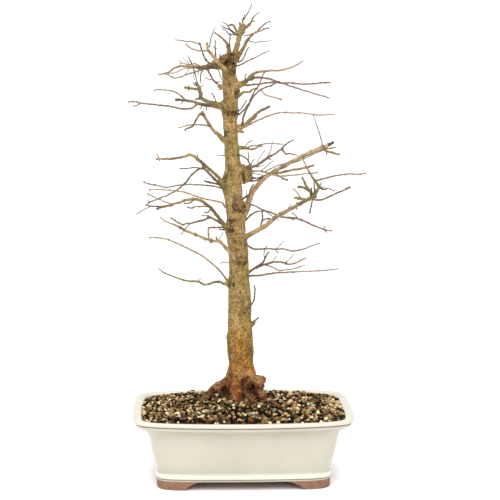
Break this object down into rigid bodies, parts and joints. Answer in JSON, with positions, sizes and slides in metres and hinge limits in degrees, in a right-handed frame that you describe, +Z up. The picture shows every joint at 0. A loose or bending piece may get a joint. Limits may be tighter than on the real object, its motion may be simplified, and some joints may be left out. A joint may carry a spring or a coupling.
{
  "type": "bonsai tree in a pot",
  "caption": "Leafless trident maple bonsai with a straight, slightly leaning trunk and tiered side branches, in a glazed oblong pot on low feet.",
  "frame": {"origin": "middle of the surface that the pot's feet stand on", "axes": "+Z up along the trunk, +X to the right seen from the front, +Y towards the back"},
  "size_m": [0.3134, 0.228, 0.6405],
  "materials": {
    "glazed_pot": "gloss",
    "bark": "matte",
    "soil": "matte",
    "drain_mesh": "matte",
    "clip_wire": "satin",
    "anchor_wire": "satin",
    "stones": "matte"
  },
  "bodies": {
    "root": {"anchor_wire_back": "anchor_wire", "anchor_wire_front": "anchor_wire", "drain_mesh_left": "drain_mesh", "drain_mesh_right": "drain_mesh", "mesh_clip_left": "clip_wire", "mesh_clip_right": "clip_wire", "pot": "glazed_pot", "soil": "soil", "stone_01": "stones", "stone_02": "stones", "stone_03": "stones", "stone_04": "stones", "stone_05": "stones", "stone_06": "stones", "stone_07": "stones", "stone_08": "stones", "stone_09": "stones", "stone_10": "stones", "stone_11": "stones", "stone_12": "stones", "stone_13": "stones", "stone_14": "stones", "stone_15": "stones", "stone_16": "stones", "stone_17": "stones", "stone_18": "stones", "stone_19": "stones", "stone_20": "stones", "stone_21": "stones", "stone_22": "stones", "stone_23": "stones", "stone_24": "stones", "stone_25": "stones", "stone_26": "stones", "stone_27": "stones", "stone_28": "stones", "stone_29": "stones", "stone_30": "stones", "tree": "bark"}
  },
  "joints": []
}
